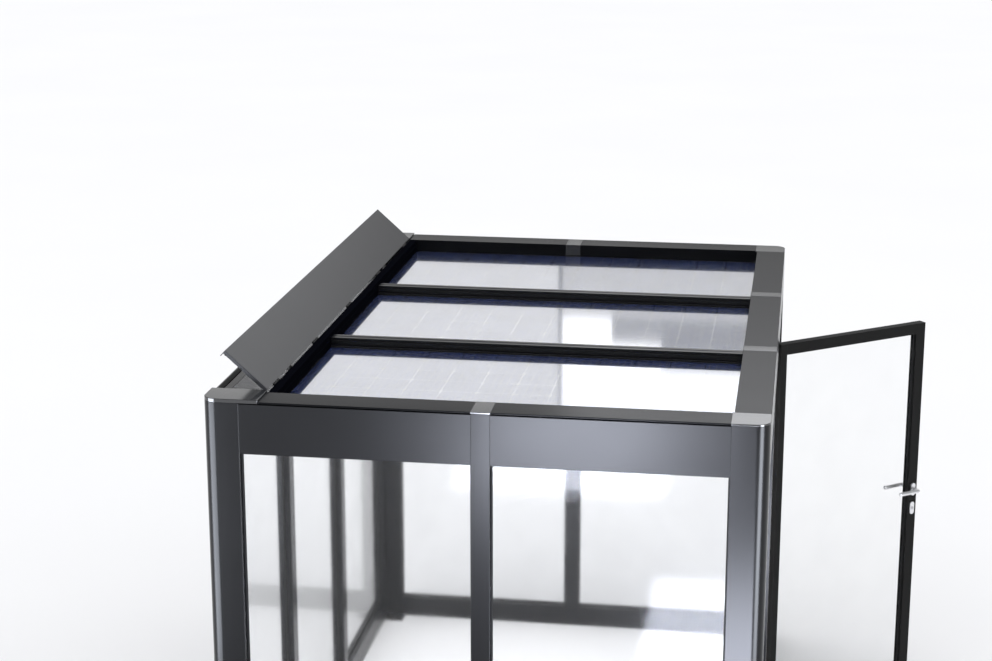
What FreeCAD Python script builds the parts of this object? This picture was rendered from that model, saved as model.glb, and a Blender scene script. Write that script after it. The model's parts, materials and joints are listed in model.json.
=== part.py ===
"""Walk-in greenhouse with a flat solar-glass roof, a long roof vent and a glazed door.

Millimetres. The origin is the centre of the footprint on the ground, +Z is up, the front
faces -Y, the door is in the +X side and the roof vent runs along the -X side.
The vent and the door are modelled open, which is their rest position.
"""
import FreeCAD
import Part
import math
import os

from FreeCAD import Vector

# ---- driving dimensions -------------------------------------------------------------
BAY = 984.0                 # clear opening of every glazing bay
POST = 80.0                 # width of an intermediate post
CORNER = 158.0              # face width of a corner post
HEIGHT = 2335.0             # ground to the top of the roof edge
WALL = 70.0                 # depth of posts, sills and fascias
FASCIA = 230.0              # visible height of the fascia band
SILL = 117.0
SKIN = 3.0                  # wall thickness of the aluminium sections
WIDTH = 2 * CORNER + POST + 2 * BAY
DEPTH = 2 * CORNER + 2 * POST + 3 * BAY
HALF_W = WIDTH / 2
HALF_D = DEPTH / 2

CORNER_RADIUS = 58.0
CAP = 8.0                   # thickness of the roof edge plates
CAP_CORNER = 160.0
CAP_POST = 84.0
SHADOW = 4.0                # shadow gap between the fascia and the roof edge plate
SHADOW_SET = 12.0           # how far the shadow strip is set back
RAIL = 152.0                # width of the roof edge
RAIL_BASE = HEIGHT - 86.0   # underside of the roof edge box
LEDGE = 16.0

GLAZING_NEAR = 28.0         # wall gasket faces, inwards from the wall face
GLAZING_FAR = 42.0
WALL_PANE = 6.0             # thickness of the wall and door panes
WALL_LIP = 7.0              # visible width of the wall gaskets
DOOR_LIP = 6.0
PANE_BITE = 3.0             # play around a pane inside its gasket seat

FOOT_PLATE = 8.0            # thickness of the bolt-down plates
FOOT_ARM = 20.0             # how far a plate reaches past its corner post
ANCHOR = 125.0              # anchor hole from both outer faces
ANCHOR_R = 6.5

GLASS_TOP = HEIGHT - 62.0
PANE = 3.2                  # one sheet of the roof laminate
CELL_GAP = 0.8
LAMINATE = 2 * PANE + CELL_GAP
ROOF_GASKET = 2.6
BITE = 10.0                 # how far the roof glass runs under its supports
EDGE_SEAL = 4.0             # width of the laminate's edge seal
SEAT = 13.0                 # width of the gasket under the roof glass
CELL = 156.0
CELL_PITCH = 160.0
CELL_THICK = 0.4
CELL_CLIP = 12.0            # clipped corners of a cell
CELL_COLUMNS = 12
CELL_ROWS = 6
JUNCTION = (120.0, 60.0, 18.0)      # junction box
JUNCTION_SET = 70.0         # junction box from the glass edge

RAFTER_TOP = HEIGHT - 20.0
RAFTER_BASE = HEIGHT - 130.0
RAFTER_SKIN = 2.5
COVER_TALL = 39.4           # glazing-bar cover above the rafter core
COVER_ROOM = (22.0, 36.0, 5.0)      # hollow of the cover: half width, floor and roof

BEAM_LEFT = -HALF_W + 248.0     # hinge beam beside the roof vent
BEAM_RIGHT = -HALF_W + 284.0
BEAD = 1.6                  # thin bead along the inner face of the hinge beam
BEAD_LOW, BEAD_HIGH = 34.0, 31.0    # bead below the roof top

FLAP_OPEN = 42.0            # modelled opening of the vent flap, degrees
FLAP_PIN = Vector(-HALF_W + 242.0, 0, HEIGHT - 1.0)
FLAP_NOSE = 8.0             # overhang past the outer wall face
FLAP_THICK = 16.0
FLAP_SKIN = 2.0
FLAP_END = 3.0              # thickness of the end plates
FLAP_LIP = 18.0             # how far the nose hangs below the flap
FLAP_RIBS = (60.0, 115.0, 170.0)    # stiffening ribs from the nose
FLAP_GAP = 2.0
FLAP_HALF = HALF_D - CAP_CORNER - FLAP_GAP
FLAP_EDGE = 6.0             # flap edge to hinge axis
VENT_PIN = 3.0
VENT_BARREL = 5.0
VENT_HINGES = (-1400.0, -700.0, 0.0, 700.0, 1400.0)
VENT_FIXED = 20.0           # half length of the fixed barrel
VENT_MOVING = 20.4, 45.0    # the flap's barrels on both sides of it

ACTUATOR_FOOT = Vector(BEAM_LEFT - 18.0, 0, HEIGHT - 90.0)
ACTUATOR_REACH = 80.0       # hinge axis to the lug on the flap, along the flap
ACTUATOR_DROP = 26.0        # hinge axis to the lug, square to the flap
ACTUATOR_BODY = 62.0
ACTUATOR_R = 13.0
ACTUATOR_START = 12.0       # foot pin to the body
ACTUATOR_EYE = 9.0
ACTUATOR_NECK = 7.0
RAM_R = 5.5
RAM_START = 62.0            # foot pin to the inner end of the ram
RAM_RING = 10.0
LUG_PIN = 3.0
ACTUATOR_Y = (-1032.0, 1032.0)

DOOR_OPEN = 128.0           # modelled opening of the door, degrees
LEAF_OUT = HALF_W - 33.0    # outer face of the closed leaf
LEAF = 47.0                 # leaf thickness
LEAF_HINGE = 472.0          # leaf edges along Y when closed
LEAF_LOCK = -468.0
LEAF_BASE = 31.0
LEAF_TOP = HEIGHT - FASCIA - 5.0
STILE = 57.0                # lock stile and top rail
HINGE_STILE = 38.0
KICK_RAIL = 80.0            # bottom rail
STOP = 10.0                 # how far the door stop laps behind the leaf
STOP_GAP = 1.5              # weather-strip gap between leaf and stop
JAMB_BACK = 15.0            # jamb depth behind the closed leaf
DOOR_PIN = Vector(LEAF_OUT + 9.0, LEAF_HINGE + 2.0, 0)
BARREL = 8.0
DOOR_PIN_R = 4.0
HINGE_Z = (230.0, 1065.0, 1900.0)
HINGE_LONG = 92.0
WING = 3.0                  # thickness of a hinge wing
WING_LONG = 32.0
WING_SCREWS = (25.0, 12.0)  # screws from the leaf edge
SCREW_R = 4.0
SCREW_HEAD = 2.0
THRESHOLD = 25.0
THRESHOLD_STEP = 7.0
STRIKE_BACK = LEAF_OUT - LEAF / 2 - 12.0    # inner side of the keeper pockets

HANDLE_Z = 1180.0
KEY_Z = 1074.0
LEVER = 125.0
LEVER_R = 11.0
LEVER_NECK = 35.0
LEVER_STAND = 8.4           # leaf face to the lever's neck
SPINDLE = 8.0
SPINDLE_OUT = 25.0          # spindle past each leaf face
OVAL_R = 14.0               # end radius of the oval roses, and half their straight run
OVAL_RUN = 21.0
LEVER_ROSE = (8.0, 9.8)     # thickness and bore
KEY_ROSE = (6.0, 8.4)
KEY_PLUG = 8.0              # plug radius, and how far it stands out
KEY_SLOT = (1.2, 5.5, 4.0)  # half width, half height and depth
LATCH = (5.5, 9.0, 12.0)    # half sizes of the latch bolt
DEAD_BOLT = (5.5, 18.0, 17.0)       # half width, half height and far end
CASE = (8.0, 44.0, 2.0)     # lock case: half width, depth and wall
LOCK_LOW, LOCK_HIGH = KEY_Z - 46.0, HANDLE_Z + 43.0
FOREND = (10.0, 3.0, 2.0)   # forend plate: half width, thickness and overlap
KEEPER = 1.6                # thickness of the strike plate
RUN = 0.05                  # radial running clearance of pins

nodes = {}


# ---- small helpers --------------------------------------------------------------------
def box(x0, x1, y0, y1, z0, z1):
    """Box between two corners, given in any order."""
    low = Vector(min(x0, x1), min(y0, y1), min(z0, z1))
    return Part.makeBox(abs(x1 - x0), abs(y1 - y0), abs(z1 - z0), low)


def rod(radius, length, start, direction):
    return Part.makeCylinder(radius, length, start, direction)


def fuse(shapes):
    return shapes[0].multiFuse(shapes[1:]).removeSplitter() if len(shapes) > 1 else shapes[0]


def prism(points, direction):
    """Extrudes a closed outline of straight sides."""
    wire = Part.makePolygon([Vector(*p) for p in points] + [Vector(*points[0])])
    return Part.Face(wire).extrude(Vector(*direction))


def tube(x0, x1, y0, y1, z0, z1, axis, skin=SKIN):
    """Hollow rectangular section, open at both ends along the axis."""
    outer = box(x0, x1, y0, y1, z0, z1)
    cut = [skin, skin, skin]
    cut["XYZ".index(axis)] = -1.0
    inner = box(x0 + cut[0], x1 - cut[0], y0 + cut[1], y1 - cut[1], z0 + cut[2], z1 - cut[2])
    return outer.cut(inner)


def turned(shape, centre, axis, degrees):
    """A copy of the shape turned about an axis."""
    copy = shape.copy()
    copy.rotate(centre, axis, degrees)
    return copy


def on_wall(shape, wall):
    """Moves a shape from wall coordinates to its wall.

    In wall coordinates X runs along the wall, Y goes inwards from the outer face, and
    both are measured from the middle of the outer face.
    """
    degrees, reach = {"front": (0, HALF_D), "right": (90, HALF_W),
                      "rear": (180, HALF_D), "left": (270, HALF_W)}[wall]
    copy = shape.copy()
    copy.translate(Vector(0, -reach, 0))
    copy.rotate(Vector(), Vector(0, 0, 1), degrees)
    return copy


def bays(wall):
    """Start of each clear bay along a wall, in wall coordinates."""
    count = 2 if wall in ("front", "rear") else 3
    start = -(count * BAY + (count - 1) * POST) / 2
    return [start + i * (BAY + POST) for i in range(count)]


def save_group(name, shapes):
    nodes[name] = shapes[0] if len(shapes) == 1 else Part.makeCompound(shapes)


# ---- posts, sills and fascias ---------------------------------------------------------
def corner_outline(inset):
    """L-shaped outline of a corner post with its outer corner at the origin."""
    low, leg, arm = inset, WALL - inset, CORNER - inset
    radius = CORNER_RADIUS - inset
    centre = low + radius
    on_arc = centre - radius * math.cos(math.radians(45))
    p = [(centre, low), (arm, low), (arm, leg), (leg, leg), (leg, arm), (low, arm), (low, centre)]
    edges = [Part.makeLine(Vector(*a, 0), Vector(*b, 0)) for a, b in zip(p, p[1:])]
    edges.append(Part.Arc(Vector(low, centre, 0), Vector(on_arc, on_arc, 0),
                          Vector(centre, low, 0)).toShape())
    return Part.Wire(edges)


def corner_post():
    tall = HEIGHT - CAP
    solid = Part.Face(corner_outline(0)).extrude(Vector(0, 0, tall))
    hollow = Part.Face(corner_outline(SKIN)).extrude(Vector(0, 0, tall - 2 * SKIN))
    hollow.translate(Vector(0, 0, SKIN))
    return solid.cut(hollow)


def at_corner(shape, side, end):
    """Places a shape drawn at the front left corner at any corner by mirroring."""
    copy = shape.copy()
    copy.translate(Vector(-HALF_W, -HALF_D, 0))
    if side > 0:
        copy = copy.mirror(Vector(), Vector(1, 0, 0))
    if end > 0:
        copy = copy.mirror(Vector(), Vector(0, 1, 0))
    return copy


CORNERS = {"front_left": (-1, -1), "front_right": (1, -1),
           "rear_left": (-1, 1), "rear_right": (1, 1)}


def make_posts():
    for name, (side, end) in CORNERS.items():
        nodes["corner_post_" + name] = at_corner(corner_post(), side, end)
    groups = {"front": ["mid_posts"], "rear": ["mid_posts"], "left": ["mid_posts"] * 2,
              "right": ["lock_post", "hinge_post"]}
    made = {}
    for wall, names in groups.items():
        for start, name in zip(bays(wall)[1:], names):
            top = HEIGHT - CAP - (SHADOW if wall == "left" else 0)
            post = box(start - POST, start, 0, WALL, 0, top)
            hollow = box(start - POST + SKIN, start - SKIN, SKIN, WALL - SKIN,
                         SKIN, top - SKIN)
            made.setdefault(name, []).append(on_wall(post.cut(hollow), wall))
    for name, posts in made.items():
        save_group(name, posts)


def make_walls():
    """Sills below and fascias above every bay. The door bay has a threshold instead."""
    sills, fascias = [], []
    for wall in ("front", "rear", "left", "right"):
        for number, start in enumerate(bays(wall)):
            fascias.append(on_wall(tube(start, start + BAY, 0, WALL, HEIGHT - FASCIA,
                                        HEIGHT - CAP - SHADOW, "X"), wall))
            if wall == "right" and number == 1:
                continue
            sills.append(on_wall(tube(start, start + BAY, 0, WALL, 0, SILL, "X"), wall))
    save_group("sills", sills)
    save_group("fascias", fascias)


def make_glazing():
    """Wall panes with a black gasket frame around each."""
    gaskets, panes = [], []
    near, far, lip, bite = GLAZING_NEAR, GLAZING_FAR, WALL_LIP, PANE_BITE
    low, high = SILL, HEIGHT - FASCIA
    middle = (near + far) / 2
    for wall in ("front", "rear", "left", "right"):
        for number, start in enumerate(bays(wall)):
            if wall == "right" and number == 1:
                continue
            pane = box(start + bite, start + BAY - bite, middle - WALL_PANE / 2,
                       middle + WALL_PANE / 2, low + bite, high - bite)
            frame = box(start, start + BAY, near, far, low, high)
            hole = box(start + lip, start + BAY - lip, near - 1, far + 1, low + lip, high - lip)
            panes.append(on_wall(pane, wall))
            gaskets.append(on_wall(frame.cut(hole).cut(pane), wall))
    save_group("wall_glass", panes)
    save_group("wall_gaskets", gaskets)


def make_base_plates():
    """Bolt-down plates inside the foot of each corner post."""
    plates = []
    for side, end in CORNERS.values():
        plate = box(WALL, CORNER + FOOT_ARM, WALL, CORNER + FOOT_ARM, 0, FOOT_PLATE)
        plate = plate.cut(rod(ANCHOR_R, FOOT_PLATE, Vector(ANCHOR, ANCHOR, 0), Vector(0, 0, 1)))
        plates.append(at_corner(plate, side, end))
    save_group("base_plates", plates)


# ---- roof edge ------------------------------------------------------------------------
def rail(wall, plates, span, ledge):
    """Roof edge: a continuous box with top plates between the caps and a glass ledge."""
    solids = [tube(span[0], span[1], WALL, RAIL, RAIL_BASE, HEIGHT - CAP, "X")]
    solids.append(box(ledge[0], ledge[1], RAIL, RAIL + LEDGE, RAIL_BASE,
                      GLASS_TOP - LAMINATE - ROOF_GASKET))
    for low, high in plates:
        solids.append(box(low, high, 0, RAIL, HEIGHT - CAP, HEIGHT))
        solids.append(box(low, high, SHADOW_SET, WALL, HEIGHT - CAP - SHADOW, HEIGHT - CAP))
    return on_wall(fuse(solids), wall)


def trimmed(low, high, starts):
    """Splits a run of plate at each post cap."""
    edges = [low]
    for start in starts:
        edges += [start - POST / 2 - CAP_POST / 2, start - POST / 2 + CAP_POST / 2]
    edges.append(high)
    return list(zip(edges[::2], edges[1::2]))


def make_roof_edge():
    inner_x = HALF_W - RAIL
    inner_y = HALF_D - RAIL
    for wall, side in (("front", 1), ("rear", -1)):
        cap_left, cap_right = BEAM_LEFT - 4, HALF_W - CAP_CORNER
        low, high = (cap_left, cap_right) if side > 0 else (-cap_right, -cap_left)
        ends = (BEAM_RIGHT + LEDGE, inner_x - LEDGE)
        ledge = ends if side > 0 else (-ends[1], -ends[0])
        nodes["roof_rail_" + wall] = rail(wall, trimmed(low, high, bays(wall)[1:]),
                                          (-HALF_W + WALL, HALF_W - WALL), ledge)
    run = HALF_D - CAP_CORNER
    nodes["roof_rail_right"] = rail("right", trimmed(-run, run, bays("right")[1:]),
                                    (-inner_y, inner_y), (-inner_y, inner_y))


def cap_plate(long, thick):
    """Corner cap with its rounded outer corner at the origin."""
    plate = box(0, long, 0, CAP_CORNER, 0, thick)
    upright = [e for e in plate.Edges
               if len(e.Vertexes) == 2 and all(v.X < 1 and v.Y < 1 for v in e.Vertexes)]
    plate = plate.makeFillet(CORNER_RADIUS, upright)
    rim = [e for e in plate.Edges if e.BoundBox.ZMin > thick - 0.01
           and (e.BoundBox.XMax < CORNER_RADIUS + 1 or e.BoundBox.YMax < CORNER_RADIUS + 1)]
    plate = plate.makeFillet(2.0, rim)
    plate.translate(Vector(0, 0, HEIGHT - CAP))
    return plate


def make_caps():
    """Corner caps, and caps that wrap over the roof edge above the posts."""
    left = BEAM_LEFT - 6 + HALF_W
    corners = []
    for side, end in CORNERS.values():
        long, thick = (CAP_CORNER, CAP) if side > 0 else (left, 2 * CAP)
        corners.append(at_corner(cap_plate(long, thick), side, end))
    save_group("corner_caps", corners)
    caps = []
    for wall in ("front", "rear", "right"):
        for start in bays(wall)[1:]:
            low, high = start - POST / 2 - CAP_POST / 2, start - POST / 2 + CAP_POST / 2
            gap = 0.0 if wall != "right" else 0.4
            top = box(low + 0.4, high - 0.4, 0, RAIL + 2, HEIGHT - CAP, HEIGHT + gap)
            skirt_base = RAFTER_TOP if wall == "right" else GLASS_TOP + 2
            skirt = box(low + 0.4, high - 0.4, RAIL, RAIL + 2, skirt_base, HEIGHT - CAP)
            caps.append(on_wall(fuse([top, skirt]), wall))
    save_group("post_caps", caps)


# ---- roof glass, rafters and hinge beam -----------------------------------------------
def rafter_cover():
    """Half outline of the glazing-bar cover: stepped sides with two grooves."""
    half = [(30, 0), (30, -7), (27, -8), (27, -11), (33, -12), (33, -28), (26, -29),
            (26, -35), (40, -36), (40, -COVER_TALL)]
    top = [(6, 0), (6, -2), (-6, -2), (-6, 0)]
    mirrored = [(-y, z) for y, z in reversed(half)]
    outline = half + mirrored + list(reversed(top))
    return [(0, y, RAFTER_TOP + z) for y, z in outline]


def make_rafters():
    """Rafters and their covers. Returns the gasket strips that lie on the glass edges."""
    low, high = BEAM_RIGHT, HALF_W - RAIL
    seat = GLASS_TOP - LAMINATE - ROOF_GASKET
    core_half = POST / 2 - BITE - 3
    room_half, room_floor, room_roof = COVER_ROOM
    bars, covers, upper_seals = [], [], []
    for centre in (-(BAY + POST) / 2, (BAY + POST) / 2):
        base = tube(low + LEDGE, high - LEDGE, -POST / 2, POST / 2, RAFTER_BASE, seat, "X")
        core = tube(low, high, -core_half, core_half, seat, RAFTER_TOP - COVER_TALL, "X",
                    RAFTER_SKIN)
        bar = fuse([base, core])
        bar.translate(Vector(0, centre, 0))
        bars.append(bar)
        cover = prism(rafter_cover(), (high - low - BEAD - 3.4, 0, 0))
        cover = cover.cut(box(-1, high - low, -room_half, room_half,
                              RAFTER_TOP - room_floor, RAFTER_TOP - room_roof))
        cover.translate(Vector(low + BEAD + 0.4, centre, 0))
        covers.append(cover)
        for side in (-1, 1):
            strip = box(low + 1, high - 3, centre + side * (POST / 2 - BITE),
                        centre + side * POST / 2, GLASS_TOP, RAFTER_TOP - COVER_TALL)
            upper_seals.append(strip)
    save_group("rafters", bars)
    save_group("rafter_covers", covers)
    return upper_seals


def roof_bays():
    """Clear Y span of each roof bay."""
    inner_y = HALF_D - RAIL
    half = (BAY + 2 * POST) / 2
    return {"front": (-inner_y, -half), "middle": (-half + POST, half - POST),
            "rear": (half, inner_y)}


def make_roof_glass(upper_seals):
    """Laminates with their cells, junction boxes and the gaskets above and below."""
    x0, x1 = BEAM_RIGHT + 1, HALF_W - RAIL - 1
    boxes, seals, cells = [], list(upper_seals), []
    for name, (clear0, clear1) in roof_bays().items():
        y0 = clear0 + 1 if name == "front" else clear0 - BITE
        y1 = clear1 - 1 if name == "rear" else clear1 + BITE
        top = GLASS_TOP
        upper = box(x0, x1, y0, y1, top - PANE, top)
        lower = box(x0, x1, y0, y1, top - LAMINATE, top - LAMINATE + PANE)
        edge = box(x0, x1, y0, y1, top - LAMINATE + PANE, top - PANE)
        edge = edge.cut(box(x0 + EDGE_SEAL, x1 - EDGE_SEAL, y0 + EDGE_SEAL, y1 - EDGE_SEAL,
                            top - LAMINATE, top))
        nodes["solar_glass_" + name] = fuse([upper, lower, edge])
        centre_x, centre_y = (x0 + x1) / 2, (y0 + y1) / 2
        for column in range(CELL_COLUMNS):
            for row in range(CELL_ROWS):
                cx = centre_x + (column - (CELL_COLUMNS - 1) / 2) * CELL_PITCH
                cy = centre_y + (row - (CELL_ROWS - 1) / 2) * CELL_PITCH
                cells.append(cell(cx, cy, top - LAMINATE + PANE + 0.1))
        long, deep, tall = JUNCTION
        boxes.append(box(centre_x - long / 2, centre_x + long / 2, y1 - JUNCTION_SET - deep,
                         y1 - JUNCTION_SET, top - LAMINATE - tall, top - LAMINATE))
        low = top - LAMINATE - ROOF_GASKET
        under = box(x0, x1, y0, y1, low, top - LAMINATE)
        seals.append(under.cut(box(x0 + SEAT, x1 - SEAT, y0 + SEAT, y1 - SEAT, low - 1, top)))
    save_group("solar_cells", cells)
    save_group("roof_gaskets", seals)
    save_group("junction_boxes", boxes)


def cell(cx, cy, z):
    """Square silicon wafer with clipped corners."""
    half, clip = CELL / 2, CELL_CLIP
    ring = [(-half + clip, -half), (half - clip, -half), (half, -half + clip),
            (half, half - clip), (half - clip, half), (-half + clip, half),
            (-half, half - clip), (-half, -half + clip)]
    return prism([(cx + x, cy + y, z) for x, y in ring], (0, 0, CELL_THICK))


def make_hinge_beam():
    inner_y = HALF_D - RAIL
    beam = tube(BEAM_LEFT, BEAM_RIGHT, -inner_y, inner_y, RAIL_BASE, HEIGHT, "Y")
    ledge = box(BEAM_RIGHT, BEAM_RIGHT + LEDGE, -inner_y, inner_y, RAIL_BASE,
                GLASS_TOP - LAMINATE - ROOF_GASKET)
    bead = box(BEAM_RIGHT, BEAM_RIGHT + BEAD, -inner_y, inner_y, HEIGHT - BEAD_LOW,
               HEIGHT - BEAD_HIGH)
    nodes["hinge_beam"] = fuse([beam, ledge, bead])
    seat = []
    for start in bays("left"):
        seat.append(on_wall(box(start + 4, start + BAY - 4, 10, 34,
                                HEIGHT - CAP - SHADOW, HEIGHT - CAP - 0.5), "left"))
    save_group("vent_seal", seat)


# ---- roof vent ------------------------------------------------------------------------
def opened_flap(shape):
    """Turns a shape drawn with the vent closed to the modelled opening."""
    return turned(shape, FLAP_PIN, Vector(0, 1, 0), FLAP_OPEN)


def knuckle(y0, y1, bore):
    start = Vector(FLAP_PIN.x, y0, FLAP_PIN.z)
    barrel = rod(VENT_BARREL, y1 - y0, start, Vector(0, 1, 0))
    return barrel.cut(rod(bore, y1 - y0, start, Vector(0, 1, 0)))


def make_vent():
    right = FLAP_PIN.x - FLAP_EDGE
    left = -HALF_W - FLAP_NOSE
    top, under = HEIGHT + CAP, HEIGHT + CAP - FLAP_THICK
    run = FLAP_HALF - FLAP_END
    plate = tube(left, right, -run, run, under, top, "Y", FLAP_SKIN)
    nose = box(left, left + FLAP_END, -run, run, under - FLAP_LIP, under)
    ribs = [box(left + at, left + at + FLAP_SKIN, -run, run, under + FLAP_SKIN,
                top - FLAP_SKIN) for at in FLAP_RIBS]
    nodes["vent_flap"] = opened_flap(fuse([plate, nose] + ribs))
    ends = [box(left, right, s * run, s * FLAP_HALF, under, top) for s in (-1, 1)]
    save_group("vent_flap_end_plates", [opened_flap(e) for e in ends])

    fixed, moving, pins = [], [], []
    y_axis = Vector(0, 1, 0)
    half, reach = VENT_FIXED, VENT_MOVING[1]
    for y in VENT_HINGES:
        start = Vector(FLAP_PIN.x, y - half, FLAP_PIN.z)
        leaf = box(FLAP_PIN.x + 1, BEAM_LEFT, y - half, y + half, HEIGHT - 14, HEIGHT - 11)
        stem = box(FLAP_PIN.x - 1, FLAP_PIN.x + 2, y - half, y + half, HEIGHT - 14, HEIGHT - 5)
        stem = stem.cut(rod(VENT_PIN, 2 * half, start, y_axis))
        fixed.append(fuse([knuckle(y - half, y + half, VENT_PIN), leaf, stem]))
        for side in (-1, 1):
            near, far = sorted(y + side * step for step in VENT_MOVING)
            arm = box(right, FLAP_PIN.x, near, far, HEIGHT - 2, HEIGHT + 1)
            arm = arm.cut(rod(VENT_BARREL - 1, far - near,
                              Vector(FLAP_PIN.x, near, FLAP_PIN.z), y_axis))
            moving.append(opened_flap(fuse([knuckle(near, far, VENT_PIN + RUN), arm])))
        pins.append(rod(VENT_PIN, 2 * reach, Vector(FLAP_PIN.x, y - reach, FLAP_PIN.z), y_axis))
    save_group("vent_hinge_fixed_leaves", fixed)
    save_group("vent_hinge_flap_leaves", moving)
    save_group("vent_hinge_pins", pins)


def actuator_lug():
    """Centre of the flap lug's pin with the flap at its modelled opening."""
    closed = FLAP_PIN + Vector(-ACTUATOR_REACH, 0, -ACTUATOR_DROP)
    arm = FreeCAD.Rotation(Vector(0, 1, 0), FLAP_OPEN).multVec(closed - FLAP_PIN)
    return FLAP_PIN + arm


def make_actuators():
    """Two linear actuators that push the flap open from the hinge beam."""
    lug_pin = actuator_lug()
    along = lug_pin - ACTUATOR_FOOT
    reach = along.Length
    along.normalize()
    brackets, lugs = [], []
    y_axis = Vector(0, 1, 0)
    for name, y in zip(("front", "rear"), ACTUATOR_Y):
        foot = Vector(ACTUATOR_FOOT.x, y, ACTUATOR_FOOT.z)
        tip = Vector(lug_pin.x, y, lug_pin.z)
        cheeks = [box(foot.x - 9, BEAM_LEFT, y + s * 14, y + s * 17, foot.z - 9, foot.z + 9)
                  for s in (-1, 1)]
        web = box(BEAM_LEFT - 3, BEAM_LEFT, y - 17, y + 17, foot.z - 9, foot.z + 9)
        pin = rod(LUG_PIN, 34, foot - y_axis * 17, y_axis)
        brackets.append(fuse(cheeks + [web, pin]))

        body = rod(ACTUATOR_R, ACTUATOR_BODY, foot + along * ACTUATOR_START, along)
        eye = rod(ACTUATOR_EYE, 20, foot - y_axis * 10, y_axis)
        neck = rod(ACTUATOR_NECK, ACTUATOR_START + 2, foot, along)
        shell = fuse([body, eye, neck]).cut(rod(LUG_PIN + RUN, 40, foot - y_axis * 20, y_axis))
        shell = shell.cut(rod(RAM_R + RUN, 80, foot + along * (ACTUATOR_START + 2), along))
        nodes["actuator_body_" + name] = shell

        shaft = rod(RAM_R, reach - 7 - RAM_START, foot + along * RAM_START, along)
        ring = rod(RAM_RING, 12, tip - y_axis * 6, y_axis)
        nodes["actuator_rod_" + name] = fuse([shaft, ring]).cut(
            rod(LUG_PIN + 2.6, 20, tip - y_axis * 10, y_axis))

        flap_under = HEIGHT + CAP - FLAP_THICK
        closed = FLAP_PIN + Vector(-ACTUATOR_REACH, y, -ACTUATOR_DROP)
        ears = [box(closed.x - 8, closed.x + 8, y + s * 9, y + s * 12,
                    closed.z - 7, flap_under) for s in (-1, 1)]
        lug = ears + [rod(LUG_PIN, 24, closed - y_axis * 12, y_axis)]
        lug.append(box(closed.x - 12, closed.x + 12, y - 12, y + 12, flap_under - 2, flap_under))
        lugs.append(opened_flap(fuse(lug)))
    save_group("actuator_brackets", brackets)
    save_group("flap_lugs", lugs)


# ---- door -----------------------------------------------------------------------------
def opened_door(shape):
    """Turns a shape drawn with the door closed to the modelled opening."""
    return turned(shape, DOOR_PIN, Vector(0, 0, 1), DOOR_OPEN)


def make_door_frame():
    half = BAY / 2
    back = LEAF_OUT - LEAF - JAMB_BACK
    stop = LEAF_OUT - LEAF - STOP_GAP
    top = HEIGHT - FASCIA
    hinge = [box(back, LEAF_OUT, LEAF_HINGE + 4, half, THRESHOLD, top),
             box(back, stop, LEAF_HINGE - STOP, LEAF_HINGE + 4, THRESHOLD, top)]
    nodes["door_jamb_hinge"] = fuse(hinge)
    lock = [box(back, LEAF_OUT, -half, LEAF_LOCK - 4, THRESHOLD, top),
            box(back, stop, LEAF_LOCK - 4, LEAF_LOCK + STOP, THRESHOLD, top)]
    lock = fuse(lock)
    keeper = box(STRIKE_BACK - 10, LEAF_OUT - 2, LEAF_LOCK - 4, LEAF_LOCK - 4 + KEEPER,
                 KEY_Z - 45, HANDLE_Z + 40)
    for z, tall in ((HANDLE_Z, 24), (KEY_Z, 38)):
        pocket = box(STRIKE_BACK, LEAF_OUT + 5, LEAF_LOCK - 2, -half - 1,
                     z - tall / 2 - 4, z + tall / 2 + 4)
        lock = lock.cut(pocket)
        keeper = keeper.cut(pocket)
    nodes["door_jamb_lock"] = lock
    nodes["door_head_stop"] = box(back, stop, LEAF_LOCK + STOP, LEAF_HINGE - STOP,
                                  top - 20, top)
    sill = box(back, HALF_W, -half, half, 0, THRESHOLD)
    step = box(LEAF_OUT + 6, HALF_W + 1, -half - 1, half + 1, THRESHOLD - THRESHOLD_STEP,
               THRESHOLD + 1)
    nodes["door_threshold"] = sill.cut(step)
    nodes["strike_plate"] = keeper


def stile(y0, y1):
    """Hollow stile of the door leaf with welded end plates."""
    x0, x1 = LEAF_OUT - LEAF, LEAF_OUT
    outer = box(x0, x1, y0, y1, LEAF_BASE, LEAF_TOP)
    return outer.cut(box(x0 + SKIN, x1 - SKIN, y0 + SKIN, y1 - SKIN, LEAF_BASE + SKIN,
                         LEAF_TOP - SKIN))


def make_door_leaf():
    x0, x1 = LEAF_OUT - LEAF, LEAF_OUT
    hinge_in, lock_in = LEAF_HINGE - HINGE_STILE, LEAF_LOCK + STILE
    hinge = stile(hinge_in, LEAF_HINGE)
    lock = stile(LEAF_LOCK, lock_in)
    middle = LEAF_OUT - LEAF / 2
    forend, forend_lap = FOREND[0], FOREND[2]
    lock = lock.cut(box(middle - forend, middle + forend, LEAF_LOCK - 1, LEAF_LOCK + 45,
                        LOCK_LOW - forend_lap, LOCK_HIGH + forend_lap))
    for z, radius in ((HANDLE_Z, 11), (KEY_Z, 9)):
        lock = lock.cut(rod(radius, LEAF + 10, Vector(x0 - 5, lock_hole_y(), z), Vector(1, 0, 0)))
    nodes["door_stile_hinge"] = opened_door(hinge)
    nodes["door_stile_lock"] = opened_door(lock)
    top = tube(x0, x1, lock_in, hinge_in, LEAF_TOP - STILE, LEAF_TOP, "Y")
    base = tube(x0, x1, lock_in, hinge_in, LEAF_BASE, LEAF_BASE + KICK_RAIL, "Y")
    save_group("door_rails", [opened_door(top), opened_door(base)])
    low, high = LEAF_BASE + KICK_RAIL, LEAF_TOP - STILE
    bite, lip, half = PANE_BITE, DOOR_LIP, WALL_PANE / 2
    pane = box(middle - half, middle + half, lock_in + bite, hinge_in - bite, low + bite,
               high - bite)
    frame = box(middle - half - 4, middle + half + 4, lock_in, hinge_in, low, high)
    hole = box(middle - half - 5, middle + half + 5, lock_in + lip, hinge_in - lip, low + lip,
               high - lip)
    nodes["door_glass"] = opened_door(pane)
    nodes["door_gasket"] = opened_door(frame.cut(hole).cut(pane))


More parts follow.
